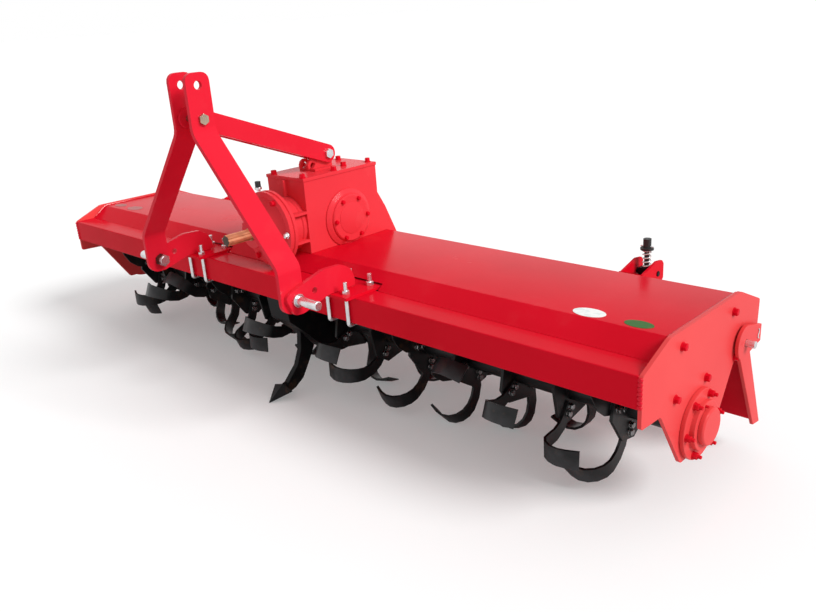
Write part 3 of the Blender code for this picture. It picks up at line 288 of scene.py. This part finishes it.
def dressed(node, finish, ease=0.0012, steps=2, turn=28):
    """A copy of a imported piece, merged and with its edges eased, which stands in its place."""
    same_point = 0.00002
    same_plane_deg = 0.4
    packed = frame["nodes"][node]
    piece = bpy.data.objects.new(node + "_finished", packed.data.copy())
    bpy.context.scene.collection.objects.link(piece)
    piece.data.materials.clear()
    piece.data.materials.append(finish)
    only(piece)
    bpy.ops.object.mode_set(mode="EDIT")
    bpy.ops.mesh.select_all(action="SELECT")
    bpy.ops.mesh.remove_doubles(threshold=same_point)
    bpy.ops.mesh.dissolve_limited(angle_limit=radians(same_plane_deg))
    bpy.ops.object.mode_set(mode="OBJECT")
    if ease:
        bevel = piece.modifiers.new("eased_edges", "BEVEL")
        bevel.width = ease
        bevel.segments = steps
        bevel.limit_method = "ANGLE"
        bevel.angle_limit = radians(turn)
        bpy.ops.object.modifier_apply(modifier=bevel.name)
    bpy.ops.object.shade_smooth_by_angle(angle=radians(turn))
    flat = piece.modifiers.new("flat_faces_lead", "WEIGHTED_NORMAL")
    flat.keep_sharp = True
    bpy.ops.object.modifier_apply(modifier=flat.name)
    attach(piece, packed["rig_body"])
    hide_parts(node)
    return piece


def added(piece, name, node, finish):
    """A piece of the scene's own, fixed to the body that the node is on."""
    smooth_below_deg = 32
    piece.name = name
    piece.data.name = name
    only(piece)
    bpy.ops.object.transform_apply(location=True, rotation=True, scale=True)
    piece.data.materials.clear()
    piece.data.materials.append(finish)
    bpy.ops.object.shade_smooth_by_angle(angle=radians(smooth_below_deg))
    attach(piece, frame["nodes"][node]["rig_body"])
    return piece


def picked(piece, wanted):
    """Opens the piece for editing with only the wanted faces selected."""
    only(piece)
    bpy.context.tool_settings.mesh_select_mode = (False, False, True)
    bpy.ops.object.mode_set(mode="EDIT")
    bpy.ops.mesh.select_all(action="DESELECT")
    shape = bmesh.from_edit_mesh(piece.data)
    shape.faces.ensure_lookup_table()
    for face in shape.faces:
        if wanted(face):
            face.select_set(True)
    bmesh.update_edit_mesh(piece.data)


def on_top(face):
    return face.normal.z > 0.9


def turned_bar(sides, radius, low, high, chamfer, wanted=on_top, steps=2):
    """A bar that stands on the origin from low to high, with its top edge taken off."""
    bpy.ops.object.select_all(action="DESELECT")
    bpy.ops.mesh.primitive_cylinder_add(
        vertices=sides, radius=radius, depth=high - low, location=(0, 0, (low + high) / 2)
    )
    bar = bpy.context.object
    bpy.ops.object.transform_apply(location=True, rotation=True, scale=True)
    picked(bar, wanted)
    bpy.ops.mesh.bevel(offset=chamfer, segments=steps)
    bpy.ops.object.mode_set(mode="OBJECT")
    return bar


def hex_bolt(across, height, washer=1.25, stud=0, sides=24, steps=2):
    """A bolt head on its washer, or a nut where a stud stands through it."""
    sunk, sheet, washer_edge = -0.0002, 0.002, 0.0005
    head_edge = across * 0.09
    washer_radius = across * washer / 2 * 1.12
    parts = [turned_bar(6, across / sqrt(3), sheet, sheet + height, head_edge, steps=steps)]
    parts.append(turned_bar(sides, washer_radius, sunk, sheet, washer_edge, steps=steps))
    if stud:
        stud_radius, stud_edge = across * 0.30, across * 0.05
        parts.append(turned_bar(16, stud_radius, sheet, stud, stud_edge))
    only(*parts)
    bpy.ops.object.join()
    return parts[0]


def stood(model, name, node, finish, seats):
    """Copies of a bolt on the node's surface. A seat is a place near it and the way to stand."""
    probe = 0.05
    first_spin_deg, next_spin_deg = 17, 23
    copies = []
    mesh = frame["nodes"][node].data
    corners = [corner.co for corner in mesh.vertices]
    surface = BVHTree.FromPolygons(corners, [face.vertices for face in mesh.polygons])
    for count, (place, way) in enumerate(seats):
        place, way = Vector(place), Vector(way).normalized()
        on_face, _, _, _ = surface.ray_cast(place + probe * way, -way, 2 * probe)
        if on_face is None:
            raise ValueError(f"{name}: nothing of {node} is under {tuple(place)}")
        copy = bpy.data.objects.new(name, model.data.copy())
        bpy.context.scene.collection.objects.link(copy)
        spin = Matrix.Rotation(radians(first_spin_deg + next_spin_deg * count), 4, "Z")
        stand = way.to_track_quat("Z", "Y").to_matrix().to_4x4()
        copy.matrix_world = Matrix.Translation(on_face) @ (stand @ spin)
        copies.append(copy)
    only(*copies)
    bpy.ops.object.join()
    return added(copies[0], name, node, finish)


plate_bolt = hex_bolt(0.017, 0.010)
plate_x = 1.390
plate_bolts = ((-0.099, 0.241), (0.038, 0.110), (-0.122, 0.114), (0.180, 0.239), (0.205, 0.105))
weld_x, weld_y = 1.3845, -0.2815
weld_low, weld_high, weld_step = 0.156, 0.226, 0.0112
ripple_radius = 0.0070
ripple_lean = 0.6
bpy.ops.object.select_all(action="DESELECT")
bpy.ops.mesh.primitive_uv_sphere_add(segments=12, ring_count=8, radius=ripple_radius)
weld_ripple = bpy.context.object
weld_ripple.scale = (1.05, 0.58, 0.86)
bpy.ops.object.transform_apply(location=False, rotation=False, scale=True)
for method, amount in (("TAPER", 0.45), ("BEND", radians(40))):
    drawn = weld_ripple.modifiers.new("drawn_" + method.lower(), "SIMPLE_DEFORM")
    drawn.deform_method = method
    drawn.deform_axis = "X" if method == "TAPER" else "Y"
    drawn.factor = amount
    bpy.ops.object.modifier_apply(modifier=drawn.name)
for side, sign in (("left", 1), ("right", -1)):
    plate = "end_plate_" + side
    dressed(plate, red_end_painted_highlight, 0.0016)
    seats = [(axle + Vector((sign * plate_x, y, z)), (sign, 0, 0)) for y, z in plate_bolts]
    stood(plate_bolt, plate + "_bolts", plate, red, seats)
    ripples = []
    while weld_low + weld_step * len(ripples) < weld_high:
        z = weld_low + weld_step * len(ripples)
        ripple = bpy.data.objects.new("ripple", weld_ripple.data.copy())
        bpy.context.scene.collection.objects.link(ripple)
        ripple.location = axle + Vector((sign * weld_x, weld_y, z))
        ripple.rotation_euler = (0, -sign * ripple_lean, 0 if sign > 0 else pi)
        ripples.append(ripple)
    only(*ripples)
    bpy.ops.object.join()
    added(ripples[0], plate + "_weld", plate, red_bar_painted_light)

# A cast flange holds each of the rotor's bearings on its end plate, under a machined hub cap.
# Six nuts on studs clamp the flange, and a small grease nipple stands in its boss.
flange_nut = hex_bolt(0.016, 0.011, stud=0.022)
flange_x = 1.402
nut_circle = 0.080
first_nut_deg, nut_step_deg = 63, 60
nipple = turned_bar(10, 0.0035, -0.001, 0.009, 0.001)
nipple_x, nipple_y, nipple_z = 1.416, -0.012, 0.058
for side, sign in (("left", 1), ("right", -1)):
    flange = "bearing_flange_" + side
    dressed(flange, red_end_painted_highlight, 0.0020)
    dressed("hub_cap_" + side, red_end_painted_highlight, 0.0016)
    seats = []
    for step in range(6):
        angle = radians(first_nut_deg + nut_step_deg * step)
        place = Vector((sign * flange_x, nut_circle * cos(angle), nut_circle * sin(angle)))
        seats.append((axle + place, (sign, 0, 0)))
    stood(flange_nut, flange + "_nuts", flange, red, seats)
    seats = [(axle + Vector((sign * nipple_x, nipple_y, nipple_z)), (sign, 0, 0))]
    stood(nipple, flange + "_grease_nipple", flange, red, seats)

# The front beam is a square steel tube, and the folded sheet cover lies behind and above it.
# The cover's ends are rolled beside the plates, and weld and paint close the groove at the beam.
# Four plain stickers lie on its top.
dressed("front_beam", red, 0.0032, 3)
dressed("cover", red, 0.0012)
edge_x, edge_thick = 1.3745, 0.0044
edge_path = ((-0.1935, 0.2375), (-0.1375, 0.2768), (0.218, 0.2768), (0.344, 0.2225))
edge_red = red_gloss("thick_edge_paint", rough=0.16, shine=0.5)
seam_from, seam_to, seam_y, seam_z, seam_thick = 0.482, 1.3785, -0.1970, 0.2312, 0.0056


def drawn_wire(name, path, thickness, kind="POLY"):
    """A round wire along the path's points, closed at its ends and made a mesh."""
    line = bpy.data.curves.new(name, "CURVE")
    line.dimensions = "3D"
    line.bevel_depth = thickness / 2
    line.bevel_resolution = 2
    line.use_fill_caps = True
    run = line.splines.new(kind)
    run.points.add(len(path) - 1)
    run.use_endpoint_u = True
    for point, place in zip(run.points, path):
        point.co = (*(axle + Vector(place)), 1)
    wire = bpy.data.objects.new(name, line)
    bpy.context.scene.collection.objects.link(wire)
    only(wire)
    bpy.ops.object.convert(target="MESH")
    return bpy.context.object


for side, sign in (("left", 1), ("right", -1)):
    rolled = drawn_wire("edge", [(sign * edge_x, y, z) for y, z in edge_path], edge_thick)
    added(rolled, "cover_edge_" + side, "cover", edge_red)
    seam_path = [(sign * x, seam_y, seam_z) for x in (seam_from, seam_to)]
    seam = drawn_wire("seam", seam_path, seam_thick)
    added(seam, "cover_seam_" + side, "cover", red)


def paper(name, colour, print_colour, amount):
    """Printed sticker paper: a plain field with soft blots of a second colour."""
    finish = Finish(name)
    blot = finish.between(finish.noise(42, 3), 0.52, 0.64)
    finish.set(
        Base_Color=finish.blend(amount * blot, colour, print_colour),
        Roughness=0.34 + 0.1 * blot,
        Specular_IOR_Level=0.08,
    )
    return finish.material


white_paper = paper("white_sticker", (0.86, 0.88, 0.86, 1), (0.45, 0.62, 0.60, 1), 0.35)
green_paper = paper("green_sticker", (0.030, 0.130, 0.020, 1), (0.120, 0.170, 0.040, 1), 0.7)
dull_paper = paper("faded_sticker", (0.42, 0.10, 0.10, 1), (0.30, 0.16, 0.12, 1), 0.6)
sticker_z, sticker_sheet = 0.2752, 0.0005
for name, finish, x, y, half_long, half_wide in (
    ("oval_sticker_white", white_paper, 1.145, -0.105, 0.045, 0.028),
    ("oval_sticker_green", green_paper, 1.283, -0.107, 0.038, 0.022),
    ("oval_sticker_faded_outer", dull_paper, -1.309, -0.096, 0.038, 0.022),
    ("oval_sticker_faded_inner", dull_paper, -1.183, -0.094, 0.045, 0.028),
):
    sticker = turned_bar(48, 1, 0, 1, 0.06)
    sticker.scale = (half_long, half_wide, sticker_sheet)
    sticker.location = axle + Vector((x, y, sticker_z))
    added(sticker, name, "cover", finish)

# The gearbox is a welded red case on the cover, with a lid on seven bolts.
# Each side has a round bearing cap with a low boss and six bolts round it.
# The input housing is a ribbed casting bolted on its front.
# Their red is the lightened copy, painted light laid into the colour.
for node in ("gearbox_housing", "gearbox_lid", "lid_bracket", "side_cap_left", "side_cap_right"):
    dressed(node, red_casting_painted_light, 0.0020)
dressed("input_housing", red_casting_painted_light, 0.0016)
lid_bolt = hex_bolt(0.017, 0.012)
lid_z = 0.527
lid_places = (
    (-0.066, -0.132),
    (-0.064, 0.155),
    (0.081, 0.007),
    (0.047, 0.081),
    (0.074, 0.170),
    (0.086, -0.132),
    (-0.081, 0.007),
)
seats = [(axle + Vector((x, y, lid_z)), (0, 0, 1)) for x, y in lid_places]
stood(lid_bolt, "gearbox_lid_bolts", "gearbox_lid", red, seats)
cap_bolt = hex_bolt(0.012, 0.007, washer=1.1)
cap_boss = turned_bar(48, 0.054, -0.0002, 0.0014, 0.0009)
cap_x, cap_y, cap_z, cap_circle = 0.118, 0.037, 0.361, 0.071
first_cap_deg, cap_step_deg = 120, 60
for side, sign in (("left", 1), ("right", -1)):
    cap = "side_cap_" + side
    seats = []
    for step in range(6):
        angle = radians(first_cap_deg + cap_step_deg * step)
        y, z = cap_y + cap_circle * cos(angle), cap_z + cap_circle * sin(angle)
        seats.append((axle + Vector((sign * cap_x, y, z)), (sign, 0, 0)))
    stood(cap_bolt, "side_cap_bolts_" + side, cap, red, seats)
    seats = [(axle + Vector((sign * cap_x, cap_y, cap_z)), (sign, 0, 0))]
    stood(cap_boss, "side_cap_boss_" + side, cap, red_casting_painted_light, seats)


# Six bolts hold the input housing's flange. Five are painted over, and one is bare zinc plate.
# A black plastic breather cap stands on a zinc nut on top of the housing.
def zinc_plate(name, bright=(0.80, 0.80, 0.81, 1), dull=(0.68, 0.68, 0.70, 1), metal=0.9):
    """Zinc plating, pale and slightly clouded."""
    finish = Finish(name)
    cloud = finish.between(finish.noise(45, 2), 0.35, 0.68)
    finish.set(
        Base_Color=finish.blend(cloud, bright, dull),
        Metallic=metal,
        Roughness=0.20 + 0.08 * cloud,
    )
    return finish.material


def black_plastic(name):
    """Moulded black plastic with a fine grain and a few pale scuffs."""
    finish = Finish(name)
    grain = finish.noise(300, 3)
    scuff = finish.between(finish.noise(40, 4), 0.60, 0.75)
    finish.set(
        Base_Color=finish.blend(scuff, (0.012, 0.012, 0.013, 1), (0.060, 0.058, 0.056, 1)),
        Roughness=0.42 + 0.14 * grain,
        Normal=finish.bump(grain, 0.12, 0.0006),
    )
    return finish.material


def split(piece, second, wanted):
    """Gives the piece's wanted faces a second finish."""
    piece.data.materials.append(second)
    for face in piece.data.polygons:
        if wanted(face.center - axle):
            face.material_index = 1


zinc = zinc_plate("zinc_plate")
plastic = black_plastic("black_plastic")
flange_bolt = hex_bolt(0.015, 0.010)
input_z, flange_front = 0.368, -0.240
bolt_circle = 0.112
for finish, name, angles in (
    (red, "painted", (58, 118, 178, 238, 298)),
    (zinc, "zinc", (-2,)),
):
    seats = []
    for angle in angles:
        turn = radians(angle)
        x, z = bolt_circle * cos(turn), input_z + bolt_circle * sin(turn)
        seats.append((axle + Vector((x, flange_front, z)), (0, -1, 0)))
    stood(flange_bolt, "input_housing_bolts_" + name, "input_housing", finish, seats)
breather = dressed("breather", plastic, 0.0006)
breather_nut = 0.0135
nut_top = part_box("breather")[0][2] - axle.z + breather_nut
split(breather, zinc, lambda at: at.z < nut_top)

# The splined input shaft takes the tractor's drive shaft.
# It is bare steel under brown storage grease and flash rust, and its cut front end is darker.
shaft = Finish("greased_shaft_steel")
streak = shaft.noise(60, 4, stretch=(1, 0.12, 1))
rust = shaft.between(shaft.noise(34, 5, 0.65), 0.46, 0.66)
streaked = shaft.between(streak, 0.36, 0.66)
greased = shaft.blend(streaked, (0.40, 0.115, 0.045, 1), (0.70, 0.30, 0.16, 1))
shaft.set(
    Base_Color=shaft.blend(0.55 * rust, greased, (0.20, 0.055, 0.022, 1)),
    Metallic=0.45,
    Roughness=0.30 + 0.22 * rust,
    Normal=shaft.bump(streak, 0.18, 0.0006),
)
dark_steel = Finish("dark_oiled_steel")
oil = dark_steel.noise(90, 4)
dark_steel.set(
    Base_Color=dark_steel.blend(oil, (0.028, 0.020, 0.015, 1), (0.095, 0.062, 0.042, 1)),
    Metallic=0.6,
    Roughness=0.34 + 0.2 * oil,
)
cut_end = -0.3872
stub = dressed("input_shaft", shaft.material, 0.0007)
split(stub, dark_steel.material, lambda at: at.y < cut_end)

# The hitch mast is two bent flat bars from the beam to the top link's holes.
# Two flat struts run back to the lid. Of the zinc bolts, the mast's has yellowed.
dressed("strut_bolt", zinc, 0.0010)
yellowed = zinc_plate("yellowed_zinc", (0.52, 0.42, 0.31, 1), (0.38, 0.30, 0.22, 1))
dressed("mast_bolt", yellowed, 0.0010)
for side in ("left", "right"):
    dressed("mast_strap_" + side, red_bar_painted_light, 0.0022, 3)
    dressed("strut_" + side, red_bar_painted_light, 0.0018)

# A cheek plate and a clamp with two zinc U-bolts hold each lower hitch pin on the front beam.
# The pins are zinc-plated and pale, and their inner nuts are dark oiled steel.
clamp_low, clamp_high = 0.2314, 0.2421
nut_seat, thread_radius = 0.3812, 0.0150
for side in ("left", "right"):
    dressed("hitch_cheek_" + side, red_bar_painted_light, 0.0018)
    clamp = dressed("hitch_clamp_" + side, red, 0.0010)
    split(clamp, zinc, lambda at: not clamp_low < at.z < clamp_high)
    pin = dressed("hitch_pin_" + side, zinc, 0.0010)
    pin_low, pin_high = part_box("hitch_pin_" + side)
    middle = ((pin_low + pin_high) / 2 - axle).yz
    split(
        pin,
        dark_steel.material,
        lambda at: abs(at.x) < nut_seat and (at.yz - middle).length > thread_radius,
    )


# Below the beam the gear case, its shank and its share are painted black, as the rotor is.
# The paint is thin, with brown patches, and is rubbed to grey steel at the blades' tips.
def black_paint(name, worn_from=None, shine=0.12):
    """Thin black paint, rubbed off beyond the reach worn_from from the rotor's axle."""
    brown_colour, steel_colour = (0.120, 0.055, 0.022, 1), (0.075, 0.075, 0.082, 1)
    rubbed_band = 0.035
    finish = Finish(name)
    patch = finish.between(finish.noise(9, 5, 0.62), 0.52, 0.70)
    grain = finish.noise(150, 3)
    base = finish.blend(0.55 * patch, (0.0045, 0.0045, 0.0052, 1), (0.022, 0.019, 0.017, 1))
    brown = finish.between(finish.noise(17, 4), 0.62, 0.72)
    base = finish.blend(0.35 * brown, base, brown_colour)
    rough = 0.30 + 0.16 * patch + 0.12 * grain
    if worn_from:
        here = finish.node("ShaderNodeSeparateXYZ", {}, {0: finish.place(centre=axle)}, output=1)
        above = finish.node("ShaderNodeSeparateXYZ", {}, {0: finish.place(centre=axle)}, output=2)
        reach = (here * here + above * above) ** 0.5
        ragged = reach + 0.05 * finish.noise(26, 4)
        rubbed = finish.between(ragged, worn_from, worn_from + rubbed_band)
        base = finish.blend(0.45 * rubbed, base, steel_colour)
        rough = rough - 0.06 * rubbed
    finish.set(
        Base_Color=base,
        Roughness=rough,
        Normal=finish.bump(grain, 0.10, 0.0008),
        Specular_IOR_Level=shine,
    )
    return finish.material


black = black_paint("black_paint")
blade_black = black_paint("worn_blade_paint", 0.232, 0.32)
for node in ("centre_case", "centre_shank", "share"):
    dressed(node, black, 0.0014)
dressed("rotor", blade_black, 0.0009, 1)

# Two zinc bolts clamp each blade to its holder plate. On each half of the tube are seven holders
# of four blades, each holder turned 22.5 degrees on the last. Heads and nuts are alike.
blade_nut = hex_bolt(0.017, 0.009, washer=1.1, sides=12, steps=1)
first_turn_deg = -90 + 11.25 + 22.76
holder_turn_deg, blade_turn_deg = 22.5, 90
first_holder, holder_pitch = 0.130, 0.180
bolt_reaches = (0.058, 0.079)
half_plate = 0.002
seats = []
for holder in range(7):
    for sign in (1, -1):
        for blade in range(4):
            turn = radians(first_turn_deg + holder_turn_deg * holder + blade_turn_deg * blade)
            x = sign * (first_holder + holder_pitch * holder)
            for reach in bolt_reaches:
                place = axle + Vector((x, reach * cos(turn), reach * sin(turn)))
                for way in (1, -1):
                    seats.append((place + Vector((way * half_plate, 0, 0)), (way, 0, 0)))
bolt_zinc = zinc_plate("dulled_bolt_zinc", (0.34, 0.34, 0.35, 1), (0.16, 0.15, 0.145, 1))
stood(blade_nut, "blade_bolts", "rotor", bolt_zinc, seats)

# The trailing board is folded sheet on two arms, which hang from hinge pins in the end plates.
# Each pin's end shows in the arm's head, with a bent wire clip on the rear tab.
dressed("trailing_board", red, 0.0012)
clip_x, clip_y, clip_z, clip_thick = 1.4068, 0.312, 0.138, 0.0032
clip_path = (
    (-0.004, 0.016),
    (0.005, 0.012),
    (0.004, 0.003),
    (-0.003, -0.002),
    (-0.004, -0.010),
    (0.004, -0.014),
)
for side, sign in (("left", 1), ("right", -1)):
    dressed("hinge_pin_" + side, zinc, 0.0012)
    arm = "board_arm_" + side
    dressed(arm, red_end_painted_highlight, 0.0016)
    wire_path = [(sign * clip_x, clip_y + y, clip_z + z) for y, z in clip_path]
    clip = drawn_wire("clip", wire_path, clip_thick, "NURBS")
    added(clip, "pin_clip_" + side, arm, zinc)

# Two screwed rods set the board's height, each through a trunnion block in a red bracket.
# A pale spring sits under a black cap and a washer, and a pin through the rod shows as two ears.
ear_radius, ear_half_long, ear_edge, ear_drop = 0.0024, 0.021, 0.0008, 0.0235
spring_wire = zinc_plate("pale_spring_wire", (0.84, 0.76, 0.74, 1), (0.70, 0.62, 0.60, 1), 0.35)


def on_ends(face):
    return abs(face.normal.z) > 0.9


for side in ("left", "right"):
    dressed("adjuster_bracket_" + side, red, 0.0014)
    dressed("trunnion_" + side, black, 0.0012)
    rod = "adjuster_rod_" + side
    dressed(rod, plastic, 0.0008)
    dressed("spring_" + side, spring_wire, 0, turn=60)
    low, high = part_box(rod)
    ears = turned_bar(12, ear_radius, -ear_half_long, ear_half_long, ear_edge, on_ends)
    ears.rotation_euler = (0, pi / 2, 0)
    ears.location = ((low[0] + high[0]) / 2, (low[1] + high[1]) / 2, high[2] - ear_drop)
    added(ears, rod + "_ears", rod, zinc)

for model in (
    plate_bolt,
    weld_ripple,
    flange_nut,
    nipple,
    lid_bolt,
    cap_bolt,
    cap_boss,
    flange_bolt,
    blade_nut,
):
    bpy.data.objects.remove(model)
